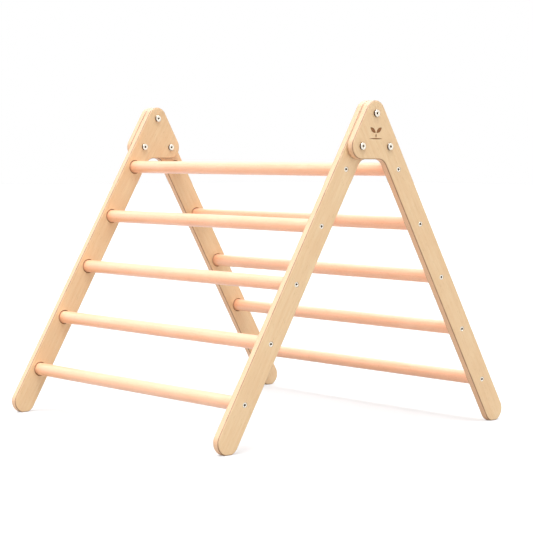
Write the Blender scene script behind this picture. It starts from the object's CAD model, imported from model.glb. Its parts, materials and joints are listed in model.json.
"""Fine surfaces and finishes of a folding wooden climbing triangle.

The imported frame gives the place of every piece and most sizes. Each sub-assembly is a class that
builds its meshes in metres, in the frame's own axes: +X towards the outer ladder, +Y along the
rungs towards the back, +Z up.
"""

from __future__ import annotations

import json
import logging
import math
from abc import ABC, abstractmethod
from dataclasses import dataclass, field
from enum import Enum
from typing import Any, ClassVar, Union

import bmesh
import bpy
from mathutils import Matrix, Vector


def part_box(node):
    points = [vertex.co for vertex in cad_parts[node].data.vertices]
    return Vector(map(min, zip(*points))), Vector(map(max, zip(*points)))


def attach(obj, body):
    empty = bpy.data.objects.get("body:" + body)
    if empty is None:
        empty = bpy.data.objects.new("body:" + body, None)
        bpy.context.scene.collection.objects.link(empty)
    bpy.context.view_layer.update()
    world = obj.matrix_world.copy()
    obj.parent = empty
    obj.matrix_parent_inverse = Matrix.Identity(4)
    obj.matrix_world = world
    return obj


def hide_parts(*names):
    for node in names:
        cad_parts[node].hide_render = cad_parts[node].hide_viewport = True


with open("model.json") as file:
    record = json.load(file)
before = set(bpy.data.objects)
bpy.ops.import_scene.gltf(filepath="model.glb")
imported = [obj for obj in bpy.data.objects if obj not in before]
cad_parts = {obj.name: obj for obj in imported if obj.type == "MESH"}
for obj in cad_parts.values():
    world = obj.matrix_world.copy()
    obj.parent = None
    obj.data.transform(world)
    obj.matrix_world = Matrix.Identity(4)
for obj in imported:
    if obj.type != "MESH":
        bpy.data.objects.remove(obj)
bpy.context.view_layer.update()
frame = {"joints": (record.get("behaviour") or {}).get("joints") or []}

WELD = 1e-6  # vertices closer than this are one vertex
ORIGIN = Vector((0.0, 0.0, 0.0))
Y_AXIS = Vector((0.0, 1.0, 0.0))
Z_AXIS = Vector((0.0, 0.0, 1.0))
MM = 0.001
HEXAGON = 6
RIM_LAYER = "rim"  # vertex values that say where a metal piece has an exposed edge
GRIME_LAYER = "grime"  # vertex values that say where dark residue gathers on it
CODE_TOE, CODE_SLOPE, CODE_LIFT, CODE_POWER = 0.04045, 12.92, 0.055, 2.4  # of hex colours

Socket = bpy.types.NodeSocket
Feed = Union[Socket, float, tuple]
Profile = list[tuple[float, float]]
Span = tuple[float, float]

log = logging.getLogger("climbing_triangle")


# Shader nodes


def tone(code: str) -> tuple[float, float, float, float]:
    """Turns a hex colour as a paint chart gives it into the linear colour that shaders use.

    Args:
        code: Six hex digits, red, green and blue.

    Returns:
        The linear red, green, blue and an alpha of one.
    """
    parts = [int(code[i : i + 2], 16) / 255 for i in (0, 2, 4)]
    linear = [
        p / CODE_SLOPE if p <= CODE_TOE else ((p + CODE_LIFT) / (1 + CODE_LIFT)) ** CODE_POWER
        for p in parts
    ]
    return (*linear, 1.0)


class Bench:
    """Places and joins the nodes of one shader tree."""

    def __init__(self, tree: bpy.types.NodeTree) -> None:
        """Starts work on a tree.

        Args:
            tree: The material's or group's node tree.
        """
        self.tree = tree

    def node(self, kind: str, **settings: Any) -> bpy.types.Node:
        """Adds a node and sets its options.

        Args:
            kind: The node's type name.
            **settings: Properties of the node and their values.

        Returns:
            The new node.
        """
        made = self.tree.nodes.new(kind)
        for name, value in settings.items():
            setattr(made, name, value)
        return made

    def feed(self, socket: Socket, value: Feed) -> None:
        """Joins a socket to another, or gives it a fixed value.

        Args:
            socket: The input to fill.
            value: The output that feeds it, or a number, vector or colour.
        """
        if isinstance(value, Socket):
            self.tree.links.new(value, socket)
        else:
            socket.default_value = value

    def place(self) -> tuple[Socket, Socket]:
        """Adds a Texture Coordinate node.

        Returns:
            The sockets of the piece's own coordinates and of its surface's direction.
        """
        made = self.node("ShaderNodeTexCoord")
        return made.outputs["Object"], made.outputs["Normal"]

    def math(self, operation: str, *operands: Feed, clamp: bool = False) -> Socket:
        """Adds a Math node.

        Args:
            operation: The node's operation, such as MULTIPLY.
            *operands: As many operands as the operation has.
            clamp: Whether the result is held between 0 and 1.

        Returns:
            The result's socket.
        """
        made = self.node("ShaderNodeMath", operation=operation, use_clamp=clamp)
        for socket, operand in zip(made.inputs, operands):
            self.feed(socket, operand)
        return made.outputs[0]

    def ramp(self, value: Feed, low: float, high: float, start: float = 0.0, end: float = 1.0) -> Socket:
        """Maps a span of values smoothly to another span, and holds it there.

        Args:
            value: The value to map.
            low: The value that gives start.
            high: The value that gives end.
            start: The result at low.
            end: The result at high.

        Returns:
            The mapped value's socket.
        """
        made = self.node("ShaderNodeMapRange", interpolation_type="SMOOTHSTEP", clamp=True)
        for socket, number in zip(made.inputs, (value, low, high, start, end)):
            self.feed(socket, number)
        return made.outputs[0]

    def noise(self, vector: Feed, scale: Feed, detail: float = 3.0, roughness: float = 0.5) -> Socket:
        """Adds a Noise Texture.

        Args:
            vector: The coordinates that it reads.
            scale: Its cells per metre.
            detail: How many finer octaves it holds.
            roughness: How strong the finer octaves are.

        Returns:
            The noise value's socket, about 0.5 on average.
        """
        made = self.node("ShaderNodeTexNoise", noise_dimensions="3D")
        settings = {"Vector": vector, "Scale": scale, "Detail": detail, "Roughness": roughness}
        for name, value in settings.items():
            self.feed(made.inputs[name], value)
        return made.outputs["Fac"]

    def mix(self, factor: Feed, first: Feed, second: Feed) -> Socket:
        """Mixes two colours.

        Args:
            factor: How much of the second colour shows.
            first: The first colour.
            second: The second colour.

        Returns:
            The mixed colour's socket.
        """
        made = self.node("ShaderNodeMix", data_type="RGBA", blend_type="MIX", clamp_factor=True)
        for index, value in ((0, factor), (6, first), (7, second)):
            self.feed(made.inputs[index], value)
        return made.outputs[2]

    def tint(self, body: Feed, mask: Socket, share: float, colour: tuple) -> Socket:
        """Lays a colour over another where a mask says.

        Args:
            body: The colour below.
            mask: Where the other colour lies, from 0 to 1.
            share: How much of it shows where the mask is 1.
            colour: The colour on top.

        Returns:
            The tinted colour's socket.
        """
        return self.mix(self.math("MULTIPLY", mask, share), body, colour)

    def turned(self, vector: Feed, spin: tuple, shift: tuple = (0, 0, 0), kind: str = "POINT") -> Socket:
        """Turns and shifts coordinates or directions with a Mapping node.

        Args:
            vector: The coordinates or direction.
            spin: Rotation about X, Y and Z in radians.
            shift: What is added after the rotation, in metres.
            kind: POINT for coordinates, VECTOR for directions.

        Returns:
            The turned vector's socket.
        """
        made = self.node("ShaderNodeMapping", vector_type=kind)
        self.feed(made.inputs["Vector"], vector)
        made.inputs["Rotation"].default_value = spin
        if kind == "POINT":
            made.inputs["Location"].default_value = shift
        return made.outputs["Vector"]

    def scaled(self, vector: Feed, stretch: tuple) -> Socket:
        """Scales coordinates by a fixed amount along each axis.

        Args:
            vector: The coordinates.
            stretch: The factor along X, Y and Z.

        Returns:
            The scaled vector's socket.
        """
        made = self.node("ShaderNodeVectorMath", operation="MULTIPLY")
        self.feed(made.inputs[0], vector)
        self.feed(made.inputs[1], stretch)
        return made.outputs[0]

    def split(self, vector: Feed) -> list[Socket]:
        """Takes a vector apart.

        Args:
            vector: The vector.

        Returns:
            The sockets of its X, Y and Z.
        """
        made = self.node("ShaderNodeSeparateXYZ")
        self.feed(made.inputs[0], vector)
        return list(made.outputs)

    def bump(self, height: Feed, distance: float, strength: float) -> Socket:
        """Adds a Bump node.

        Args:
            height: The pattern that lifts the surface.
            distance: How high a full step of the pattern is, in metres.
            strength: How much of it shows.

        Returns:
            The bumped normal's socket.
        """
        made = self.node("ShaderNodeBump")
        for name, value in (("Strength", strength), ("Distance", distance), ("Height", height)):
            self.feed(made.inputs[name], value)
        return made.outputs["Normal"]


class Effect(ABC):
    """A surface effect that several materials share, held in one node group."""

    title: ClassVar[str]
    takes: ClassVar[dict[str, str]]
    gives: ClassVar[dict[str, str]]

    @classmethod
    def tree(cls) -> bpy.types.NodeTree:
        """Finds the effect's node group, and builds it the first time.

        Returns:
            The node group.
        """
        found = bpy.data.node_groups.get(cls.title)
        if found:
            return found
        made = bpy.data.node_groups.new(cls.title, "ShaderNodeTree")
        for way, sockets in (("INPUT", cls.takes), ("OUTPUT", cls.gives)):
            for name, kind in sockets.items():
                made.interface.new_socket(name, in_out=way, socket_type="NodeSocket" + kind)
        bench = Bench(made)
        inside = bench.node("NodeGroupInput")
        outside = bench.node("NodeGroupOutput")
        results = cls.wire(bench, {name: inside.outputs[name] for name in cls.takes})
        for name, socket in results.items():
            bench.feed(outside.inputs[name], socket)
        return made

    @classmethod
    def place(cls, bench: Bench, **values: Feed) -> dict[str, Socket]:
        """Puts the effect in a material.

        Args:
            bench: The material's bench.
            **values: What feeds each input, by its name.

        Returns:
            The effect's output sockets by name.
        """
        made = bench.node("ShaderNodeGroup", node_tree=cls.tree())
        for name, value in values.items():
            bench.feed(made.inputs[name], value)
        return {name: made.outputs[name] for name in cls.gives}

    @classmethod
    @abstractmethod
    def wire(cls, bench: Bench, given: dict[str, Socket]) -> dict[str, Socket]:
        """Builds the group's inner nodes.

        Args:
            bench: The group's bench.
            given: The group's inputs by name.

        Returns:
            The socket behind each output, by name.
        """


class WoodFigure(Effect):
    """Growth streaks, short ray flecks and soft clouding, with the grain along Z."""

    title = "wood_figure"
    takes = {"Vector": "Vector", "Streaks": "Float", "Flecks": "Float"}
    gives = {"Streak": "Float", "Fleck": "Float", "Cloud": "Float"}

    LENGTHWISE: ClassVar[tuple] = (1.0, 1.0, 0.045)  # draws the streaks out along the grain
    FLECKWISE: ClassVar[tuple] = (1.0, 1.0, 0.17)  # draws the flecks out along it
    STREAK_ROUGHNESS: ClassVar[float] = 0.62
    FINE_SCALE: ClassVar[float] = 5.3  # fine streaks for each broad one
    FINE_SHARE: ClassVar[float] = 0.38  # of the fine streaks in the whole
    CLOUDS: ClassVar[float] = 13.0  # per metre
    CLOUD_ROUGHNESS: ClassVar[float] = 0.55
    STREAK_SPAN: ClassVar[Span] = (0.34, 0.66)
    FLECK_SPAN: ClassVar[Span] = (0.62, 0.74)
    CLOUD_SPAN: ClassVar[Span] = (0.30, 0.70)

    @classmethod
    def wire(cls, bench: Bench, given: dict[str, Socket]) -> dict[str, Socket]:
        """Builds the streaks, flecks and clouding.

        Args:
            bench: The group's bench.
            given: The coordinates, and the streaks and flecks per metre.

        Returns:
            The masks of the streaks, flecks and clouds.
        """
        drawn = bench.scaled(given["Vector"], cls.LENGTHWISE)
        broad = bench.noise(drawn, given["Streaks"], 5.0, cls.STREAK_ROUGHNESS)
        fine = bench.noise(drawn, bench.math("MULTIPLY", given["Streaks"], cls.FINE_SCALE), 2.0)
        parts = ((broad, 1 - cls.FINE_SHARE), (fine, cls.FINE_SHARE))
        streak = bench.math("ADD", *(bench.math("MULTIPLY", part, share) for part, share in parts))
        short = bench.noise(bench.scaled(given["Vector"], cls.FLECKWISE), given["Flecks"], 1.0)
        cloud = bench.noise(given["Vector"], cls.CLOUDS, roughness=cls.CLOUD_ROUGHNESS)
        return {
            "Streak": bench.ramp(streak, *cls.STREAK_SPAN),
            "Fleck": bench.ramp(short, *cls.FLECK_SPAN),
            "Cloud": bench.ramp(cloud, *cls.CLOUD_SPAN),
        }


class PlyLayers(Effect):
    """The veneers of a plywood board that lies across Y, with its face grain along Z."""

    title = "ply_layers"
    takes = {"Vector": "Vector", "Normal": "Vector", "Board": "Float", "Veneers": "Float"}
    gives = {"End Grain": "Float", "Glue": "Float", "Rounding": "Float"}

    GLUE_SHARE: ClassVar[float] = 0.10  # of a veneer's thickness, on each side of a joint
    WANDER: ClassVar[float] = 0.30 * MM  # how far the joints wander
    WAVES: ClassVar[float] = 26.0  # per metre, in the joints
    RIM: ClassVar[float] = 0.43  # of the thickness, from the middle to the burnished rounding
    RIM_SPREAD: ClassVar[float] = 0.11
    GRAIN_FALL: ClassVar[float] = 2.0  # how fast end grain fades as the surface turns
    FACE_FALL: ClassVar[float] = 3.0  # how fast the joints fade towards the board's faces

    @classmethod
    def wire(cls, bench: Bench, given: dict[str, Socket]) -> dict[str, Socket]:
        """Finds the veneer at each depth and how its fibres meet the surface.

        Args:
            bench: The group's bench.
            given: The coordinates, the surface's direction, the thickness and the veneer count.

        Returns:
            The masks of the end grain, the glue lines and the burnished rounding.
        """
        calc = bench.math
        wave = bench.noise(given["Vector"], cls.WAVES, 1.0)
        drift = calc("MULTIPLY", calc("SUBTRACT", wave, 0.5), 2 * cls.WANDER)
        _, depth, _ = bench.split(given["Vector"])
        share = calc("DIVIDE", calc("ADD", depth, drift), given["Board"])
        number = calc("MULTIPLY", calc("ADD", share, 0.5), given["Veneers"])
        crossed = calc("GREATER_THAN", calc("PINGPONG", calc("FLOOR", number), 1.0), 0.5)
        across, through, along = (calc("ABSOLUTE", part) for part in bench.split(given["Normal"]))
        cut_across = calc("MULTIPLY", crossed, calc("POWER", across, cls.GRAIN_FALL))
        plain = calc("SUBTRACT", 1.0, crossed)
        cut_along = calc("MULTIPLY", plain, calc("POWER", along, cls.GRAIN_FALL))
        edge = calc("PINGPONG", number, 0.5)
        bare = calc("SUBTRACT", 1.0, calc("POWER", through, cls.FACE_FALL))
        near_face = calc("ABSOLUTE", calc("SUBTRACT", calc("ABSOLUTE", share), cls.RIM))
        return {
            "End Grain": calc("ADD", cut_across, cut_along, clamp=True),
            "Glue": calc("MULTIPLY", bench.ramp(edge, cls.GLUE_SHARE, 0.0), bare),
            "Rounding": calc("MULTIPLY", bench.ramp(near_face, cls.RIM_SPREAD, 0.0), bare),
        }


class Handling(Effect):
    """Uneven sheen left by hands, and a few fine scratches."""

    title = "handling"
    takes = {"Vector": "Vector", "Smudges": "Float"}
    gives = {"Smudge": "Float", "Scratch": "Float"}

    SMUDGE_ROUGHNESS: ClassVar[float] = 0.6
    SLANT: ClassVar[tuple] = (0.5, 0.9, 0.3)  # the way that the scratches run
    HAIRLIKE: ClassVar[tuple] = (1.0, 1.0, 0.02)
    SCRATCHES: ClassVar[float] = 900.0  # per metre
    SMUDGE_SPAN: ClassVar[Span] = (0.36, 0.68)
    SCRATCH_SPAN: ClassVar[Span] = (0.76, 0.82)

    @classmethod
    def wire(cls, bench: Bench, given: dict[str, Socket]) -> dict[str, Socket]:
        """Builds the smudges and scratches.

        Args:
            bench: The group's bench.
            given: The coordinates and the smudges per metre.

        Returns:
            The masks of the smudges and scratches.
        """
        smudge = bench.noise(given["Vector"], given["Smudges"], 4.0, cls.SMUDGE_ROUGHNESS)
        slanted = bench.turned(given["Vector"], cls.SLANT)
        hair = bench.noise(bench.scaled(slanted, cls.HAIRLIKE), cls.SCRATCHES, 0.0)
        return {
            "Smudge": bench.ramp(smudge, *cls.SMUDGE_SPAN),
            "Scratch": bench.ramp(hair, *cls.SCRATCH_SPAN),
        }


class RimWear(Effect):
    """Uneven rubbing along edges, where a mask says that there is an edge."""

    title = "rim_wear"
    takes = {"Vector": "Vector", "Mask": "Float", "Amount": "Float"}
    gives = {"Worn": "Float"}

    PATCHES: ClassVar[float] = 70.0  # per metre
    PATCH_ROUGHNESS: ClassVar[float] = 0.65
    PATCH_SPAN: ClassVar[Span] = (0.25, 0.6)
    LEAST: ClassVar[float] = 0.7  # of the wear, between the patches

    @classmethod
    def wire(cls, bench: Bench, given: dict[str, Socket]) -> dict[str, Socket]:
        """Breaks the mask up with noise.

        Args:
            bench: The group's bench.
            given: The coordinates, the mask of the edges and the amount of wear.

        Returns:
            The mask of the worn places.
        """
        cells = bench.noise(given["Vector"], cls.PATCHES, 4.0, cls.PATCH_ROUGHNESS)
        patches = bench.ramp(cells, *cls.PATCH_SPAN, cls.LEAST)
        rubbed = bench.math("MULTIPLY", given["Mask"], patches)
        return {"Worn": bench.math("MULTIPLY", rubbed, given["Amount"], clamp=True)}


# Finishes


class Finish(ABC):
    """A finish that can be put on a piece."""

    name: str

    def material(self) -> bpy.types.Material:
        """Finds the finish's material, and builds it the first time.

        Returns:
            The material.
        """
        found = bpy.data.materials.get(self.name)
        if found:
            return found
        made = bpy.data.materials.new(self.name)
        made.use_nodes = True
        shader = made.node_tree.nodes["Principled BSDF"]
        self.wire(Bench(made.node_tree), shader)
        return made

    @abstractmethod
    def wire(self, bench: Bench, shader: bpy.types.Node) -> None:
        """Builds the nodes that feed the shader.

        Args:
            bench: The material's bench.
            shader: Its Principled BSDF.
        """


@dataclass(frozen=True)
class BirchPly(Finish):
    """Sanded birch plywood under satin lacquer, with its veneers showing on the edges."""

    name: str
    slope: float  # of the leg, from the vertical, positive towards +X
    middle: float  # the board's middle, along Y
    thickness: float
    veneers: float = 13.0
    streaks: float = 150.0  # per metre, as the flecks and smudges are
    flecks: float = 520.0
    smudges: float = 30.0
    face: tuple = tone("ECCB9E")
    face_deep: tuple = tone("E2B786")
    streak_share: float = 0.62
    cloud_share: float = 0.35
    fleck: tuple = tone("C29A6A")
    fleck_share: float = 0.28
    edge: tuple = tone("EBC096")
    edge_share: float = 0.8
    edge_span: Span = (0.97, 0.75)  # the surface's lean, from where the face ends
    end_grain: tuple = tone("DEA682")
    end_share: float = 0.62
    glue: tuple = tone("94694A")
    glue_share: float = 0.55
    burnish: tuple = tone("6E3F1C")
    roughness: float = 0.40
    smudge_roughness: float = 0.10  # added where there is a smudge, and so on below
    end_roughness: float = 0.14
    worn_roughness: float = 0.35
    fleck_dip: float = 0.8  # the flecks' depth beside the streaks' height
    glue_dip: float = 0.9
    relief: float = 0.06 * MM
    relief_share: float = 0.6
    coat: float = 0.3
    coat_roughness: float = 0.3

    def wire(self, bench: Bench, shader: bpy.types.Node) -> None:
        """Builds the veneers, grain and lacquer.

        Args:
            bench: The material's bench.
            shader: Its Principled BSDF.
        """
        calc = bench.math
        place, direction = bench.place()
        spin = (0.0, self.slope, 0.0)
        board = bench.turned(place, spin, (0.0, -self.middle, 0.0))
        facing = bench.turned(direction, spin, kind="VECTOR")
        grain = WoodFigure.place(bench, Vector=board, Streaks=self.streaks, Flecks=self.flecks)
        size = {"Board": self.thickness, "Veneers": self.veneers}
        layers = PlyLayers.place(bench, Vector=board, Normal=facing, **size)
        touch = Handling.place(bench, Vector=board, Smudges=self.smudges)
        wear = RimWear.place(bench, Vector=board, Mask=layers["Rounding"], Amount=1.0)

        _, through, _ = bench.split(facing)
        sides = bench.ramp(calc("ABSOLUTE", through), *self.edge_span)
        body = self.face
        for mask, share, colour in (
            (grain["Streak"], self.streak_share, self.face_deep),
            (grain["Cloud"], self.cloud_share, self.face_deep),
            (grain["Fleck"], self.fleck_share, self.fleck),
            (sides, self.edge_share, self.edge),
            (layers["End Grain"], self.end_share, self.end_grain),
            (layers["Glue"], self.glue_share, self.glue),
        ):
            body = bench.tint(body, mask, share, colour)
        bench.feed(shader.inputs["Base Color"], bench.mix(wear["Worn"], body, self.burnish))

        rough = calc("MULTIPLY_ADD", touch["Smudge"], self.smudge_roughness, self.roughness)
        rough = calc("MULTIPLY_ADD", layers["End Grain"], self.end_roughness, rough)
        rough = calc("MULTIPLY_ADD", wear["Worn"], self.worn_roughness, rough)
        bench.feed(shader.inputs["Roughness"], rough)
        height = calc("SUBTRACT", grain["Streak"], calc("MULTIPLY", grain["Fleck"], self.fleck_dip))
        height = calc("SUBTRACT", height, calc("MULTIPLY", layers["Glue"], self.glue_dip))
        bench.feed(shader.inputs["Normal"], bench.bump(height, self.relief, self.relief_share))
        bench.feed(shader.inputs["Coat Weight"], bench.ramp(wear["Worn"], 0.0, 1.0, self.coat, 0.0))
        shader.inputs["Coat Roughness"].default_value = self.coat_roughness


@dataclass(frozen=True)
class TurnedBeech(Finish):
    """Beech dowel under clear lacquer, with its grain along Y."""

    name: str = "turned_beech"
    streaks: float = 210.0  # per metre, as the flecks and smudges are
    flecks: float = 900.0
    smudges: float = 24.0
    light: tuple = tone("FBC19A")
    deep: tuple = tone("F4AF82")
    streak_share: float = 0.75
    cloud_share: float = 0.35
    fleck: tuple = tone("D08860")
    fleck_share: float = 0.40
    cut_end: tuple = tone("CF8F64")
    end_span: Span = (0.6, 0.95)  # the surface's lean along the grain, up to the cut end
    roughness: float = 0.30
    smudge_roughness: float = 0.12
    fleck_dip: float = 0.7
    relief: float = 0.04 * MM
    relief_share: float = 0.5
    coat: float = 0.9
    coat_roughness: float = 0.3

    def wire(self, bench: Bench, shader: bpy.types.Node) -> None:
        """Builds the grain, ray flecks and lacquer.

        Args:
            bench: The material's bench.
            shader: Its Principled BSDF.
        """
        calc = bench.math
        place, direction = bench.place()
        spin = (math.pi / 2, 0.0, 0.0)
        lengthwise = bench.turned(place, spin)
        facing = bench.turned(direction, spin, kind="VECTOR")
        grain = WoodFigure.place(bench, Vector=lengthwise, Streaks=self.streaks, Flecks=self.flecks)
        touch = Handling.place(bench, Vector=lengthwise, Smudges=self.smudges)
        _, _, along = bench.split(facing)
        ends = bench.ramp(calc("ABSOLUTE", along), *self.end_span)

        body = bench.tint(self.light, grain["Streak"], self.streak_share, self.deep)
        body = bench.tint(body, grain["Cloud"], self.cloud_share, self.deep)
        body = bench.tint(body, grain["Fleck"], self.fleck_share, self.fleck)
        bench.feed(shader.inputs["Base Color"], bench.mix(ends, body, self.cut_end))
        rough = calc("MULTIPLY_ADD", touch["Smudge"], self.smudge_roughness, self.roughness)
        bench.feed(shader.inputs["Roughness"], rough)
        height = calc("SUBTRACT", grain["Streak"], calc("MULTIPLY", grain["Fleck"], self.fleck_dip))
        bench.feed(shader.inputs["Normal"], bench.bump(height, self.relief, self.relief_share))
        shader.inputs["Coat Weight"].default_value = self.coat
        shader.inputs["Coat Roughness"].default_value = self.coat_roughness


@dataclass(frozen=True)
class ZincPlate(Finish):
    """Zinc-plated steel, satin, with a faint warm cast and rubbed rims."""

    name: str = "zinc_plate"
    smudges: float = 420.0  # per metre, as the grit is
    grit: float = 2600.0
    plate: tuple = tone("F8EEDC")
    dull: tuple = tone("E8DAC2")
    dull_share: float = 0.7
    bright: tuple = tone("FFFAF0")
    wear: float = 0.8
    grime: tuple = tone("4A2E10")
    roughness: float = 0.26
    smudge_roughness: float = 0.12  # added where there is a smudge
    worn_polish: float = 0.1  # taken off where the rim is rubbed
    grime_roughness: float = 0.6
    scratch_rise: float = -0.6  # the scratches' height beside the grit's
    relief: float = 0.012 * MM
    relief_share: float = 0.5

    def wire(self, bench: Bench, shader: bpy.types.Node) -> None:
        """Builds the plating's mottle, scratches and rubbed rims.

        Args:
            bench: The material's bench.
            shader: Its Principled BSDF.
        """
        calc = bench.math
        place, _ = bench.place()
        rim, residue = (
            bench.node("ShaderNodeAttribute", attribute_name=layer).outputs["Fac"]
            for layer in (RIM_LAYER, GRIME_LAYER)
        )
        touch = Handling.place(bench, Vector=place, Smudges=self.smudges)
        worn = RimWear.place(bench, Vector=place, Mask=rim, Amount=self.wear)["Worn"]

        body = bench.tint(self.plate, touch["Smudge"], self.dull_share, self.dull)
        body = bench.mix(residue, bench.mix(worn, body, self.bright), self.grime)
        bench.feed(shader.inputs["Base Color"], body)
        rough = calc("MULTIPLY_ADD", touch["Smudge"], self.smudge_roughness, self.roughness)
        rough = calc("SUBTRACT", rough, calc("MULTIPLY", worn, self.worn_polish))
        rough = calc("MULTIPLY_ADD", residue, self.grime_roughness, rough, clamp=True)
        bench.feed(shader.inputs["Roughness"], rough)
        grit = bench.noise(place, self.grit, 2.0)
        height = calc("MULTIPLY_ADD", touch["Scratch"], self.scratch_rise, grit)
        bench.feed(shader.inputs["Normal"], bench.bump(height, self.relief, self.relief_share))
        bench.feed(shader.inputs["Metallic"], calc("SUBTRACT", 1.0, residue))


@dataclass(frozen=True)
class BoredPly(Finish):
    """The bare and slightly scorched walls of drilled holes."""

    name: str = "bored_ply"
    streaks: float = 300.0  # per metre, as the flecks are
    flecks: float = 900.0
    bare: tuple = tone("A0601F")
    scorch: tuple = tone("6E3F12")
    roughness: float = 0.9
    relief: float = 0.08 * MM
    relief_share: float = 0.6

    def wire(self, bench: Bench, shader: bpy.types.Node) -> None:
        """Builds the uneven scorching of the bored walls.

        Args:
            bench: The material's bench.
            shader: Its Principled BSDF.
        """
        place, _ = bench.place()
        grain = WoodFigure.place(bench, Vector=place, Streaks=self.streaks, Flecks=self.flecks)
        streak = grain["Streak"]
        bench.feed(shader.inputs["Base Color"], bench.mix(streak, self.bare, self.scorch))
        shader.inputs["Roughness"].default_value = self.roughness
        bench.feed(shader.inputs["Normal"], bench.bump(streak, self.relief, self.relief_share))


@dataclass(frozen=True)
class BurntWood(Finish):
    """Wood scorched by a branding laser."""

    name: str = "burnt_wood"
    streaks: float = 260.0  # per metre, as the flecks and soot are
    flecks: float = 900.0
    soot: float = 900.0
    soot_span: Span = (0.35, 0.65)
    scorch: tuple = tone("9C6430")
    char: tuple = tone("7C4A1E")
    streak_share: float = 0.3
    roughness: float = 0.62
    soot_roughness: float = 0.2
    relief: float = 0.08 * MM
    relief_share: float = 0.7

    def wire(self, bench: Bench, shader: bpy.types.Node) -> None:
        """Builds the uneven scorching.

        Args:
            bench: The material's bench.
            shader: Its Principled BSDF.
        """
        place, _ = bench.place()
        grain = WoodFigure.place(bench, Vector=place, Streaks=self.streaks, Flecks=self.flecks)
        soot = bench.noise(place, self.soot)
        body = bench.mix(bench.ramp(soot, *self.soot_span), self.scorch, self.char)
        body = bench.tint(body, grain["Streak"], self.streak_share, self.char)
        bench.feed(shader.inputs["Base Color"], body)
        rough = bench.math("MULTIPLY_ADD", soot, self.soot_roughness, self.roughness)
        bench.feed(shader.inputs["Roughness"], rough)
        bench.feed(shader.inputs["Normal"], bench.bump(soot, self.relief, self.relief_share))


@dataclass(frozen=True)
class StudioPaper(Finish):
    """The plain white paper that the object stands on."""

    name: str = "studio_paper"
    paper: tuple = tone("BCBCBC")
    glow: tuple = tone("FFFFFF")
    lift: float = 0.36  # how much brighter the paper looks than it lights the object
    roughness: float = 0.9
    gloss: float = 0.1

    def wire(self, bench: Bench, shader: bpy.types.Node) -> None:
        """Makes the paper matt, and lifts it where it is seen directly.

        Args:
            bench: The material's bench.
            shader: Its Principled BSDF.
        """
        for name, value in (
            ("Base Color", self.paper),
            ("Emission Color", self.glow),
            ("Roughness", self.roughness),
            ("Specular IOR Level", self.gloss),
        ):
            shader.inputs[name].default_value = value
        direct = bench.node("ShaderNodeLightPath").outputs["Is Camera Ray"]
        bench.feed(shader.inputs["Emission Strength"], bench.math("MULTIPLY", direct, self.lift))


# Shaping


class End(Enum):
    """The two ends of the rungs, with the way that is outwards along Y."""

    FRONT = -1
    BACK = 1

    @property
    def out(self) -> Vector:
        """The outward direction at this end."""
        return Y_AXIS * self.value

    @property
    def word(self) -> str:
        """The end's name as the frame's nodes spell it."""
        return self.name.lower()


def aimed(place: Vector, out: Vector) -> Matrix:
    """Returns the matrix that puts a shape laid out along +Z at a place, pointing along out."""
    return Matrix.Translation(place) @ out.to_track_quat("Z", "Y").to_matrix().to_4x4()


def swing(angle: float, radius: float) -> Vector:
    """Returns the point at an angle from +X towards +Z and a radius, in the XZ plane."""
    return Vector((math.cos(angle) * radius, 0.0, math.sin(angle) * radius))


def turn(bm: bmesh.types.BMesh, profile: Profile, steps: int) -> list[bmesh.types.BMVert]:
    """Adds a shape turned about Z.

    Args:
        bm: The mesh under work.
        profile: The half section as (radius, height) points.
        steps: The number of facets round the shape.

    Returns:
        The vertices that were added.
    """
    before = set(bm.verts)
    points = [bm.verts.new((radius, 0.0, height)) for radius, height in profile]
    rail = [bm.edges.new(pair) for pair in zip(points, points[1:])]
    bmesh.ops.spin(
        bm, geom=points + rail, cent=ORIGIN, axis=Z_AXIS, angle=math.tau, steps=steps,
        use_merge=True, use_duplicate=False,
    )
    bmesh.ops.remove_doubles(bm, verts=[v for v in bm.verts if v not in before], dist=WELD)
    return [v for v in bm.verts if v not in before]


def thread(radius: float, depth: float, pitch: float, start: float, stop: float) -> Profile:
    """Lays out the ridges of a screw thread as half a section.

    Args:
        radius: The thread's radius at its crests.
        depth: How deep its grooves are, negative for a thread inside a bore.
        pitch: The distance between crests.
        start: The height of its first groove.
        stop: The height that it ends at or before.

    Returns:
        The (radius, height) points from start towards stop.
    """
    turns = int(abs(stop - start) / pitch)
    step = math.copysign(pitch / 2, stop - start)
    return [(radius - depth * (1 - i % 2), start + step * i) for i in range(2 * turns + 1)]


def piece_from(name: str, bm: bmesh.types.BMesh, finish: Finish) -> bpy.types.Object:
    """Makes a scene object from a finished shape.

    Args:
        name: The piece's name.
        bm: The shape, which is freed.
        finish: What it is finished in.

    Returns:
        The new object, at the origin.
    """
    mesh = bpy.data.meshes.new(name)
    bm.to_mesh(mesh)
    bm.free()
    mesh.materials.append(finish.material())
    made = bpy.data.objects.new(name, mesh)
    bpy.context.scene.collection.objects.link(made)
    return made


def smooth(mesh: bpy.types.Mesh, crease: float = math.radians(32)) -> None:
    """Shades a mesh smooth up to a crease angle.

    Args:
        mesh: The mesh.
        crease: Edges that bend more than this stay sharp.
    """
    mesh.shade_smooth()
    mesh.set_sharp_from_angle(angle=crease)


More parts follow.
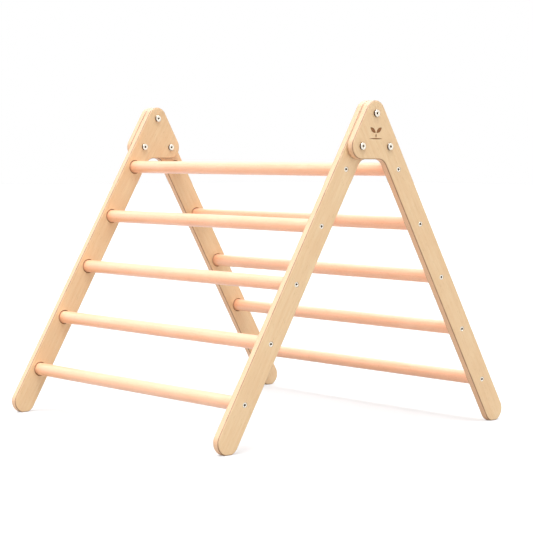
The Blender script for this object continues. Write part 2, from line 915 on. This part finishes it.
def carve(piece: bpy.types.Object, cutter: bmesh.types.BMesh, finish: Finish) -> None:
    """Cuts closed shapes out of a piece for good.

    Args:
        piece: The piece to cut.
        cutter: The closed shapes, which are freed.
        finish: What the cut surfaces are finished in.
    """
    tool = piece_from("carving_tool", cutter, finish)
    cut = piece.modifiers.new("carve", "BOOLEAN")
    cut.operation = "DIFFERENCE"
    cut.solver = "EXACT"
    cut.use_self = True
    cut.material_mode = "TRANSFER"
    cut.object = tool
    bpy.context.view_layer.update()
    seen = piece.evaluated_get(bpy.context.evaluated_depsgraph_get())
    carved = bpy.data.meshes.new_from_object(seen)
    piece.modifiers.clear()
    solid, piece.data = piece.data, carved
    tool_mesh = tool.data
    bpy.data.objects.remove(tool)
    bpy.data.meshes.remove(tool_mesh)
    bpy.data.meshes.remove(solid)
    carved.name = piece.name


def hand_over(piece: bpy.types.Object, body: str, node: str) -> None:
    """Gives a finished piece its body and the node that it stands for.

    Args:
        piece: The finished piece.
        body: The body that it moves with.
        node: The plain node that it replaces.
    """
    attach(piece, body)
    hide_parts(node)
    log.info("%s: %d faces, rides on %s", piece.name, len(piece.data.polygons), body)


# The frame's places


def middle_of(node: str) -> Vector:
    """Returns the middle of a node's box."""
    low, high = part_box(node)
    return (low + high) / 2


@dataclass(frozen=True)
class LadderPlan:
    """The places of one ladder, read from the frame."""

    label: str
    lean: int  # +1 where the legs run down towards +X, -1 where they run down towards -X
    rung_count: int = 5

    @property
    def body(self) -> str:
        """The body that the ladder is."""
        return f"{self.label}_ladder"

    @property
    def pivot(self) -> Vector:
        """The middle of the pivot line."""
        return Vector(next(j["pos_m"] for j in frame["joints"] if j["name"] == "fold"))

    @property
    def rungs(self) -> list[Vector]:
        """The middle of each rung, from the top."""
        return [middle_of(f"{self.label}_rung_{i}") for i in range(1, self.rung_count + 1)]

    @property
    def slope(self) -> float:
        """The legs' angle from the vertical."""
        run = self.rungs[-1] - self.pivot
        return math.atan2(abs(run.x), -run.z)

    @property
    def half_leg(self) -> float:
        """Half the width of a leg, which is also the radius of the head's bosses and of the feet."""
        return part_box(f"{self.label}_side_front")[1].z - self.pivot.z

    @property
    def foot(self) -> Vector:
        """The middle of the rounded foot.

        Returns:
            The point in the XZ plane, as if the legs ran down towards +X.
        """
        low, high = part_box(f"{self.label}_side_front")
        reach = max(abs(low.x), abs(high.x)) - self.half_leg
        return Vector((reach, 0.0, self.pivot.z - reach / math.tan(self.slope)))

    @property
    def boss(self) -> Vector:
        """The lock bolt beside the leg, which the head reaches round.

        Returns:
            The point in the XZ plane, as if the legs ran down towards +X.
        """
        side = "left" if self.lean > 0 else "right"
        place = middle_of(f"lock_bolt_front_{side}")
        return Vector((-abs(place.x), 0.0, place.z))

    def faces(self, end: End) -> tuple[float, float]:
        """Returns the Y of a panel's inside and outside faces at one end."""
        low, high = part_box(f"{self.label}_side_{end.word}")
        return (low.y, high.y) if end is End.BACK else (high.y, low.y)


# The leaf mark


@dataclass(frozen=True)
class LeafMark:
    """A seedling of two leaves over a slender line, burnt into the front of the head."""

    leaf: tuple[float, float] = (19 * MM, 8.5 * MM)  # length and width
    stem: tuple[float, float] = (9 * MM, 3.4 * MM)
    line: tuple[float, float] = (40 * MM, 2.6 * MM)
    depth: float = 0.4 * MM
    spread: float = math.radians(54)  # of each leaf from the stem
    heart: float = 1.6 * MM  # from the fork to the foot of each leaf
    drop: float = 43 * MM  # from the pivot down to the fork
    steps: int = 16

    def cutter(self, pivot: Vector, face: float) -> bmesh.types.BMesh:
        """Builds the shapes as closed solids that reach into the face.

        Args:
            pivot: The pivot bolt's middle.
            face: The Y of the face.

        Returns:
            The solids.
        """
        bm = bmesh.new()
        for spread in (-self.spread, self.spread):
            leaf = self._lens(bm, *self.leaf)
            bmesh.ops.translate(bm, verts=leaf, vec=Z_AXIS * (self.heart + self.leaf[0] / 2))
            bmesh.ops.rotate(bm, verts=leaf, cent=ORIGIN, matrix=Matrix.Rotation(spread, 3, "Y"))
        stem = self._lens(bm, *self.stem)
        bmesh.ops.translate(bm, verts=stem, vec=Z_AXIS * -(self.heart / 2 + self.stem[0] / 2))
        line = self._lens(bm, *self.line)
        below = self.heart + self.stem[0] + self.line[1] / 2
        bmesh.ops.rotate(bm, verts=line, cent=ORIGIN, matrix=Matrix.Rotation(math.pi / 2, 3, "Y"))
        bmesh.ops.translate(bm, verts=line, vec=Z_AXIS * -below)
        raised = bmesh.ops.extrude_face_region(bm, geom=bm.faces[:])["geom"]
        lifted = [v for v in raised if isinstance(v, bmesh.types.BMVert)]
        bmesh.ops.translate(bm, verts=lifted, vec=Y_AXIS * 2 * self.depth)
        corner = Vector((pivot.x, face - self.depth, pivot.z - self.drop))
        bmesh.ops.translate(bm, verts=bm.verts, vec=corner)
        bmesh.ops.recalc_face_normals(bm, faces=bm.faces)
        return bm

    def _lens(self, bm: bmesh.types.BMesh, length: float, width: float) -> list[bmesh.types.BMVert]:
        """Draws a shape between two arcs that meet in points, with its length along Z.

        Args:
            bm: The mesh under work.
            length: The distance between its points.
            width: Its greatest width.

        Returns:
            The vertices that were added.
        """
        before = set(bm.verts)
        half, bulge = length / 2, width / 2
        radius = (half**2 + bulge**2) / (2 * bulge)
        reach = math.asin(half / radius)
        for side in (-1, 1):
            centre = Vector((side * (bulge - radius), 0.0, 0.0))
            start = (0.0 if side > 0 else math.pi) - reach
            bmesh.ops.spin(
                bm, geom=[bm.verts.new(centre + swing(start, radius))], cent=centre, axis=-Y_AXIS,
                angle=2 * reach, steps=self.steps, use_merge=False, use_duplicate=False,
            )
        bmesh.ops.remove_doubles(bm, verts=[v for v in bm.verts if v not in before], dist=WELD)
        added = [v for v in bm.verts if v not in before]
        rim = {edge for vertex in added for edge in vertex.link_edges}
        bmesh.ops.contextual_create(bm, geom=list(rim))
        return added


# Side panels and rungs


@dataclass
class SidePanel:
    """A plywood board that is one leg and its half of the head."""

    plan: LadderPlan
    end: End
    edge_round: float = 3 * MM
    round_steps: int = 5
    crotch_radius: float = 25 * MM
    arc_steps: int = 28
    socket_depth: float = 6 * MM
    socket_gap: float = 0.5 * MM
    screw_hole: float = 3.85 * MM
    screw_rim: float = 5.85 * MM
    screw_cone: float = 3.3 * MM
    bolt_hole: float = 4.8 * MM
    lead_in: float = 0.8 * MM  # bevel at the mouths of the bolt holes
    socket_mouth: float = 1.6 * MM  # bevel at the mouth of each rung's socket
    hole_steps: int = 48
    mark: LeafMark | None = None

    @property
    def thickness(self) -> float:
        """The board's thickness."""
        inside, outside = self.plan.faces(self.end)
        return abs(outside - inside)

    @property
    def finish(self) -> BirchPly:
        """The board's own plywood.

        Returns:
            The finish, with its grain along the leg.
        """
        inside, outside = self.plan.faces(self.end)
        return BirchPly(
            name=f"birch_ply_{self.plan.label}_{self.end.word}",
            slope=self.plan.lean * self.plan.slope,
            middle=(inside + outside) / 2,
            thickness=self.thickness,
        )

    def build(self) -> bpy.types.Object:
        """Builds the drilled and rounded board.

        Returns:
            The finished piece.
        """
        panel = piece_from(f"panel_{self.plan.label}_{self.end.word}", self._blank(), self.finish)
        carve(panel, self._drill(), BoredPly())
        if self.mark:
            _, face = self.plan.faces(self.end)
            carve(panel, self.mark.cutter(self.plan.pivot, face), BurntWood())
        smooth(panel.data)
        even = panel.modifiers.new("even_shading", "WEIGHTED_NORMAL")
        even.keep_sharp = True
        return panel

    def _blank(self) -> bmesh.types.BMesh:
        """Draws the outline, gives it its thickness and rounds both rims.

        Returns:
            The closed board, before it is drilled.
        """
        plan = self.plan
        inside, outside = plan.faces(self.end)
        bm = bmesh.new()
        self._outline(bm)
        bmesh.ops.contextual_create(bm, geom=bm.edges[:])
        bmesh.ops.scale(bm, vec=Vector((plan.lean, 1.0, 1.0)), verts=bm.verts)
        bmesh.ops.translate(bm, verts=bm.verts, vec=Y_AXIS * inside)
        raised = bmesh.ops.extrude_face_region(bm, geom=bm.faces[:])["geom"]
        shifted = [v for v in raised if isinstance(v, bmesh.types.BMVert)]
        bmesh.ops.translate(bm, verts=shifted, vec=Y_AXIS * (outside - inside))
        bmesh.ops.recalc_face_normals(bm, faces=bm.faces)
        rims = [e for e in bm.edges if abs(e.verts[0].co.y - e.verts[1].co.y) < WELD]
        bmesh.ops.bevel(
            bm, geom=rims, offset=self.edge_round, segments=self.round_steps, profile=0.5,
            affect="EDGES", material=-1, clamp_overlap=True,
        )
        return bm

    def _outline(self, bm: bmesh.types.BMesh) -> None:
        """Draws the closed outline by swinging a vertex round each arc's centre.

        Args:
            bm: An empty mesh, which gets the outline for a leg that runs down towards +X.
        """
        plan, down = self.plan, 1.5 * math.pi
        half, slope = plan.half_leg, plan.slope
        reach = half + self.crotch_radius
        crotch_z = plan.boss.z - reach
        crotch_x = -(reach + (crotch_z - plan.pivot.z) * math.sin(slope)) / math.cos(slope)
        crotch = Vector((crotch_x, 0.0, crotch_z))
        sole = math.acos(plan.foot.z / half)
        arcs = (
            (plan.pivot, half, slope, math.pi - slope),
            (plan.boss, half, math.pi - slope, down),
            (crotch, self.crotch_radius, math.pi / 2, slope),
            (plan.foot, half, math.pi + slope, down - sole),
            (plan.foot, half, down + sole, math.tau + slope),
        )
        first = last = None
        for centre, radius, start, stop in arcs:
            point = bm.verts.new(centre + swing(start, radius))
            if last:
                bm.edges.new((last, point))
            swept = bmesh.ops.spin(
                bm, geom=[point], cent=centre, axis=-Y_AXIS, angle=stop - start,
                steps=self.arc_steps, use_merge=False, use_duplicate=False,
            )
            first = first or point
            last = swept["geom_last"][0]
        bm.edges.new((last, first))

    def _drill(self) -> bmesh.types.BMesh:
        """Makes every hole of the board.

        Returns:
            The holes as closed shapes.
        """
        plan, thick, lead = self.plan, self.thickness, self.lead_in
        inside, _ = plan.faces(self.end)
        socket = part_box(f"{plan.label}_rung_1")[1].z - plan.rungs[0].z + self.socket_gap
        past = 1 * MM
        cone = (self.screw_rim - self.screw_hole) / self.screw_cone
        seat = [
            (0.0, -past),
            (socket + self.socket_mouth + past, -past),
            (socket, self.socket_mouth),
            (socket, self.socket_depth),
            (self.screw_hole, self.socket_depth),
            (self.screw_hole, thick - self.screw_cone),
            (self.screw_rim + cone * past, thick + past),
            (0.0, thick + past),
        ]
        bore = [
            (0.0, -past),
            (self.bolt_hole + lead + past, -past),
            (self.bolt_hole, lead),
            (self.bolt_hole, thick - lead),
            (self.bolt_hole + lead + past, thick + past),
            (0.0, thick + past),
        ]
        bolts = [middle_of(f"{use}_bolt_{self.end.word}{side}") for use, side in BOLT_PLACES]
        bm = bmesh.new()
        for shape, places in ((seat, plan.rungs), (bore, bolts)):
            for place in places:
                added = turn(bm, shape, self.hole_steps)
                start = Vector((place.x, inside, place.z))
                bmesh.ops.transform(bm, matrix=aimed(start, self.end.out), verts=added)
        bmesh.ops.recalc_face_normals(bm, faces=bm.faces)
        return bm


@dataclass
class Rung:
    """A beech dowel with a pilot hole in each end."""

    plan: LadderPlan
    number: int
    pilot_radius: float = 3.05 * MM
    pilot_depth: float = 38.65 * MM
    end_bevel: float = 0.8 * MM
    steps: int = 72

    def build(self) -> None:
        """Turns the dowel and hands it over."""
        node = f"{self.plan.label}_rung_{self.number}"
        low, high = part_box(node)
        middle = (low + high) / 2
        radius, half = (high.z - low.z) / 2, (high.y - low.y) / 2
        end = [
            (0.0, half - self.pilot_depth),
            (self.pilot_radius, half - self.pilot_depth),
            (self.pilot_radius, half - self.end_bevel / 2),
            (self.pilot_radius + self.end_bevel / 2, half),
            (radius - self.end_bevel, half),
            (radius, half - self.end_bevel),
        ]
        bm = bmesh.new()
        turn(bm, end + [(r, -z) for r, z in reversed(end)], self.steps)
        bmesh.ops.transform(bm, matrix=aimed(middle, Y_AXIS), verts=bm.verts)
        bmesh.ops.recalc_face_normals(bm, faces=bm.faces)
        dowel = piece_from(f"dowel_{self.plan.label}_{self.number}", bm, TurnedBeech())
        smooth(dowel.data)
        hand_over(dowel, self.plan.body, node)


# Fasteners

BOLT_PLACES = (("pivot", ""), ("lock", "_left"), ("lock", "_right"))


@dataclass(frozen=True)
class KeySocket:
    """The pocket for a hexagon key in a screw head."""

    flats: float
    depth: float
    lip: float = 0.15 * MM
    point: float = 0.5 * MM  # the drill point at the pocket's floor

    @property
    def corner(self) -> float:
        """The distance from the pocket's axis to its corners."""
        return self.flats / 2 / math.cos(math.pi / HEXAGON)

    def close(self, bm: bmesh.types.BMesh, rim: float, top: float, steps: int) -> None:
        """Closes the open top of a turned head with a flat ring round the pocket.

        Args:
            bm: The mesh under work, open at its top.
            rim: The radius of the opening.
            top: Its height.
            steps: The number of facets round the head.
        """
        level = Matrix.Translation((0.0, 0.0, top))
        loops = [
            bmesh.ops.create_circle(bm, segments=sides, radius=radius, matrix=level)["verts"]
            for sides, radius in ((steps, rim), (HEXAGON, self.corner))
        ]
        outer, mouth = ([e for e in bm.edges if set(e.verts) <= set(loop)] for loop in loops)
        bmesh.ops.bridge_loops(bm, edges=outer + mouth)
        wall = bmesh.ops.extrude_edge_only(bm, edges=mouth)["geom"]
        sunk = [v for v in wall if isinstance(v, bmesh.types.BMVert)]
        bmesh.ops.translate(bm, verts=sunk, vec=Z_AXIS * -self.depth)
        foot = [e for e in wall if isinstance(e, bmesh.types.BMEdge) and set(e.verts) <= set(sunk)]
        floor = bmesh.ops.contextual_create(bm, geom=foot)["faces"]
        tip = bmesh.ops.poke(bm, faces=floor)["verts"]
        bmesh.ops.translate(bm, verts=tip, vec=Z_AXIS * -self.point)
        bmesh.ops.bevel(
            bm, geom=mouth, offset=self.lip, segments=1, profile=0.5, affect="EDGES", material=-1
        )


@dataclass
class Fastener(ABC):
    """A turned metal fastener laid out along Z, with the face that it rests on at height 0."""

    key: KeySocket
    steps: int = 48
    rim_depth: float = 0.3 * MM  # the height of the head's rim that hands and tools rub
    plate: ZincPlate = field(default_factory=ZincPlate)

    @abstractmethod
    def section(self, length: float) -> Profile:
        """Lays out the half section from the axis at the tip to the rim of the head's top.

        Args:
            length: The length below the head.

        Returns:
            The (radius, height) points.
        """

    def shape(self, length: float) -> bmesh.types.BMesh:
        """Turns the fastener and cuts its key pocket.

        Args:
            length: The length below the head.

        Returns:
            The closed shape.
        """
        section = self.section(length)
        rim, top = section[-1]
        bm = bmesh.new()
        turn(bm, section, self.steps)
        self.key.close(bm, rim, top, self.steps)
        bmesh.ops.remove_doubles(bm, verts=bm.verts, dist=WELD)
        bmesh.ops.recalc_face_normals(bm, faces=bm.faces)
        worn = bm.verts.layers.float.new(RIM_LAYER)
        grime = bm.verts.layers.float.new(GRIME_LAYER)
        mouth = self.key.corner + 2 * self.key.lip
        for vertex in bm.verts:
            across = math.hypot(vertex.co.x, vertex.co.y)
            above = vertex.co.z > top - self.rim_depth
            vertex[worn] = float(across > rim - WELD and above)
            pocket = across < mouth and vertex.co.z < top - self.key.lip / 2
            vertex[grime] = float(pocket or (across > mouth and not above))
        return bm

    def put(
        self, name: str, place: Vector, out: Vector, length: float, body: str, slot: str, node: str
    ) -> None:
        """Makes one fastener in its place.

        Args:
            name: The piece's name.
            place: Where the fastener's axis meets the face that it rests on.
            out: The way that its head points.
            length: The length below the head.
            body: The body that it moves with.
            slot: The record's material slot.
            node: The node that it replaces.
        """
        bm = self.shape(length)
        bmesh.ops.transform(bm, matrix=aimed(place, out), verts=bm.verts)
        made = piece_from(name, bm, self.plate)
        smooth(made.data)
        hand_over(made, body, node)


@dataclass
class RungScrew(Fastener):
    """A countersunk connector screw with a plain neck and a coarse thread."""

    key: KeySocket = KeySocket(flats=5 * MM, depth=2.2 * MM)
    head_radius: float = 5.5 * MM
    head_sunk: float = 0.3 * MM
    head_land: float = 0.25 * MM
    cone: float = 3.3 * MM
    neck_radius: float = 3.5 * MM
    neck_end: float = 12.35 * MM
    thread_radius: float = 2.9 * MM
    thread_depth: float = 0.8 * MM
    pitch: float = 2.4 * MM
    tip: float = 4 * MM

    def section(self, length: float) -> Profile:
        """Lays out the tip, thread, neck and countersunk head.

        Args:
            length: The length below the head.

        Returns:
            The (radius, height) points.
        """
        top = -self.head_sunk
        taper = self.tip - length
        return [
            (0.0, -length),
            *thread(self.thread_radius, self.thread_depth, self.pitch, taper, -self.neck_end),
            (self.thread_radius - self.thread_depth, -self.neck_end),
            (self.neck_radius, -self.neck_end),
            (self.neck_radius, top - self.cone),
            (self.head_radius, top - self.head_land),
            (self.head_radius, top - self.head_land / 2),
            (self.head_radius - self.head_land / 2, top),
        ]


@dataclass
class DiscHead(Fastener):
    """A fastener with a flat disc head that stands proud of the board."""

    key: KeySocket = KeySocket(flats=5 * MM, depth=2.8 * MM)
    head_radius: float = 7.5 * MM
    head_height: float = 4.35 * MM
    head_round: float = 0.45 * MM
    under_bevel: float = 0.2 * MM
    seat_gap: float = 0.03 * MM
    round_steps: int = 5

    def head(self, stem: float) -> Profile:
        """Lays out the head from the stem to the rim of its top.

        Args:
            stem: The radius of the stem below the head.

        Returns:
            The (radius, height) points.
        """
        shoulder = self.head_height - self.head_round
        quarter = [0.5 * math.pi * i / self.round_steps for i in range(self.round_steps + 1)]
        return [
            (stem, self.seat_gap),
            (self.head_radius - self.under_bevel, self.seat_gap),
            (self.head_radius, self.seat_gap + self.under_bevel),
            *[
                (
                    self.head_radius - self.head_round * (1 - math.cos(angle)),
                    shoulder + self.head_round * math.sin(angle),
                )
                for angle in quarter
            ],
        ]


@dataclass
class HeadBolt(DiscHead):
    """A connector bolt with a machine thread."""

    shank: float = 3 * MM
    plain: float = 5 * MM
    pitch: float = 1 * MM
    thread_depth: float = 0.55 * MM
    tip_bevel: float = 0.8 * MM

    def section(self, length: float) -> Profile:
        """Lays out the tip, thread, plain shank and head.

        Args:
            length: The length below the head.

        Returns:
            The (radius, height) points.
        """
        root = self.shank - self.thread_depth
        return [
            (0.0, -length),
            (root - self.tip_bevel / 2, -length),
            *thread(self.shank, self.thread_depth, self.pitch, self.tip_bevel - length, -self.plain),
            (self.shank, -self.plain),
            *self.head(self.shank),
        ]


@dataclass
class SleeveNut(DiscHead):
    """A connector sleeve with a threaded blind bore in the end of its barrel."""

    barrel: float = 4.3 * MM
    bore: float = 3.15 * MM
    bore_top: float = 6 * MM
    pitch: float = 1 * MM
    thread_depth: float = 0.4 * MM
    mouth_bevel: float = 0.5 * MM

    def section(self, length: float) -> Profile:
        """Lays out the bore, barrel and head.

        Args:
            length: The length below the head.

        Returns:
            The (radius, height) points.
        """
        lead = self.mouth_bevel
        return [
            (0.0, -self.bore_top - lead),
            (self.bore, -self.bore_top),
            *thread(self.bore, -self.thread_depth, self.pitch, -self.bore_top - lead, lead - length),
            (self.bore + lead, -length),
            (self.barrel - lead / 2, -length),
            (self.barrel, lead / 2 - length),
            *self.head(self.barrel),
        ]


# Sub-assemblies


@dataclass
class Ladder:
    """Two side panels with the rungs and screws between them."""

    plan: LadderPlan
    mark: LeafMark | None = None
    screw: RungScrew = field(default_factory=RungScrew)

    def build(self) -> None:
        """Builds the ladder's panels, rungs and screws."""
        plan = self.plan
        for end in End:
            panel = SidePanel(plan, end, mark=self.mark if end is End.FRONT else None)
            hand_over(panel.build(), plan.body, f"{plan.label}_side_{end.word}")
        for number, middle in enumerate(plan.rungs, start=1):
            Rung(plan, number).build()
            for end in End:
                self._screw(number, middle, end)

    def _screw(self, number: int, middle: Vector, end: End) -> None:
        """Puts the screw in one end of one rung.

        Args:
            number: The rung's number from the top.
            middle: The rung's middle.
            end: Which end of the rung.
        """
        node = f"{self.plan.label}_screw_{end.word}_{number}"
        _, face = self.plan.faces(end)
        low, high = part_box(node)
        length = high.y - low.y + self.screw.head_sunk
        place = Vector((middle.x, face, middle.z))
        name = f"screw_{self.plan.label}_{end.word}_{number}"
        self.screw.put(name, place, end.out, length, self.plan.body, "zinc_screw", node)


@dataclass
class HeadHardware:
    """The bolts and sleeve nuts that join the two ladders at the head."""

    outer: LadderPlan
    inner: LadderPlan
    bolt: HeadBolt = field(default_factory=HeadBolt)
    nut: SleeveNut = field(default_factory=SleeveNut)

    def build(self) -> None:
        """Builds a bolt from outside and a sleeve nut from inside at each place, at both ends."""
        for end in End:
            _, outside = self.outer.faces(end)
            inside, _ = self.inner.faces(end)
            for use, side in BOLT_PLACES:
                spot = f"{end.word}{side}"
                bolt, sleeve = f"{use}_bolt_{spot}", f"{use}_sleeve_{spot}"
                body = bolt if use == "lock" else self.outer.body
                self._place(self.bolt, f"bolt_{use}_{spot}", bolt, outside, end.out, body)
                self._place(self.nut, f"nut_{use}_{spot}", sleeve, inside, -end.out, self.inner.body)

    def _place(
        self, kind: DiscHead, name: str, node: str, face: float, out: Vector, body: str
    ) -> None:
        """Puts one fastener on a face, as long below its head as its node is.

        Args:
            kind: The fastener.
            name: The piece's name.
            node: The node that it replaces.
            face: The Y of the face that it rests on.
            out: The way that its head points.
            body: The body that it moves with.
        """
        low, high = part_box(node)
        length = high.y - low.y - kind.head_height
        middle = (low + high) / 2
        kind.put(name, Vector((middle.x, face, middle.z)), out, length, body, "zinc_bolt", node)


# Studio


@dataclass(frozen=True)
class SoftLamp:
    """A broad lamp a long way off."""

    name: str
    strength: float
    colour: tuple
    softness: float  # the angle that it spans in the sky
    azimuth: float  # from the front, negative towards the left
    height: float
    lights_matt: bool = True  # False for a lamp that only puts a gloss on lacquer and metal

    def hang(self) -> None:
        """Puts the lamp in the scene, aimed at the object."""
        lamp = bpy.data.lights.new(self.name, "SUN")
        lamp.energy = self.strength
        lamp.color = self.colour[:3]
        lamp.angle = self.softness
        made = bpy.data.objects.new(self.name, lamp)
        level = math.cos(self.height)
        source = (math.sin(self.azimuth) * level, -math.cos(self.azimuth) * level, math.sin(self.height))
        made.visible_diffuse = self.lights_matt
        made.rotation_euler = Vector(source).to_track_quat("Z", "Y").to_euler()
        bpy.context.scene.collection.objects.link(made)


@dataclass
class Studio:
    """A white floor, an even white surround, three soft lamps and the camera."""

    floor_half: float = 30.0
    floor_drop: float = 0.1 * MM
    surround: float = 1.0  # as seen directly and in reflections
    fill: float = 0.78  # as it lights rough surfaces
    lamps: tuple[SoftLamp, ...] = (
        SoftLamp(
            "key", strength=3.2, colour=tone("F2F8FF"), softness=math.radians(45),
            azimuth=math.radians(-59), height=math.radians(74),
        ),
        SoftLamp(
            "rim", strength=0.8, colour=tone("FFFFFF"), softness=math.radians(90),
            azimuth=math.radians(-162), height=math.radians(44),
        ),
        SoftLamp(
            "sheen", strength=15.0, colour=tone("FFFFFF"), softness=math.radians(60),
            azimuth=math.radians(-45), height=math.radians(84), lights_matt=False,
        ),
    )
    camera_place: tuple = (-2.5638, -3.0490, 0.6035)
    camera_azimuth: float = math.radians(40.52)  # of the view, from +Y towards +X
    camera_rise: float = math.radians(-3.59)
    camera_roll: float = math.radians(0.33)
    camera_lens: float = 114.27
    sensor: float = 36.0

    def build(self) -> None:
        """Builds the floor, the lights and the camera."""
        self._floor()
        self._surround()
        for lamp in self.lamps:
            lamp.hang()
        self._camera()
        log.info("studio: floor, surround, %d lamps and camera", len(self.lamps))

    def _floor(self) -> None:
        """Lays a sheet of white paper just below the feet."""
        bm = bmesh.new()
        level = Matrix.Translation((0.0, 0.0, -self.floor_drop))
        bmesh.ops.create_grid(bm, x_segments=1, y_segments=1, size=self.floor_half, matrix=level)
        piece_from("studio_floor", bm, StudioPaper())

    def _surround(self) -> None:
        """Lights the scene evenly from all round."""
        world = bpy.data.worlds.new("white_surround")
        world.use_nodes = True
        sky = world.node_tree.nodes["Background"]
        sky.inputs["Color"].default_value = tone("FFFFFF")
        bench = Bench(world.node_tree)
        path = bench.node("ShaderNodeLightPath").outputs["Is Diffuse Ray"]
        strength = bench.ramp(path, 0.0, 1.0, self.surround, self.fill)
        bench.feed(sky.inputs["Strength"], strength)
        bpy.context.scene.world = world

    def _camera(self) -> None:
        """Sets up the camera and makes it the scene's own."""
        lens = bpy.data.cameras.new("camera")
        lens.lens = self.camera_lens
        lens.sensor_width = self.sensor
        camera = bpy.data.objects.new("camera", lens)
        turn_left = Matrix.Rotation(-self.camera_azimuth, 3, "Z")
        look_up = Matrix.Rotation(math.pi / 2 + self.camera_rise, 3, "X")
        tip = Matrix.Rotation(self.camera_roll, 3, "Z")
        camera.rotation_euler = (turn_left @ look_up @ tip).to_euler()
        camera.location = self.camera_place
        bpy.context.scene.collection.objects.link(camera)
        bpy.context.scene.camera = camera
        bpy.context.scene.view_settings.view_transform = "Standard"


def main() -> None:
    """Builds the studio, both ladders and the hardware that joins them."""
    logging.basicConfig(level=logging.INFO, format="%(message)s")
    outer = LadderPlan("outer", 1)
    inner = LadderPlan("inner", -1)
    Studio().build()
    Ladder(outer, mark=LeafMark()).build()
    Ladder(inner).build()
    HeadHardware(outer, inner).build()


if __name__ == "__main__":
    main()
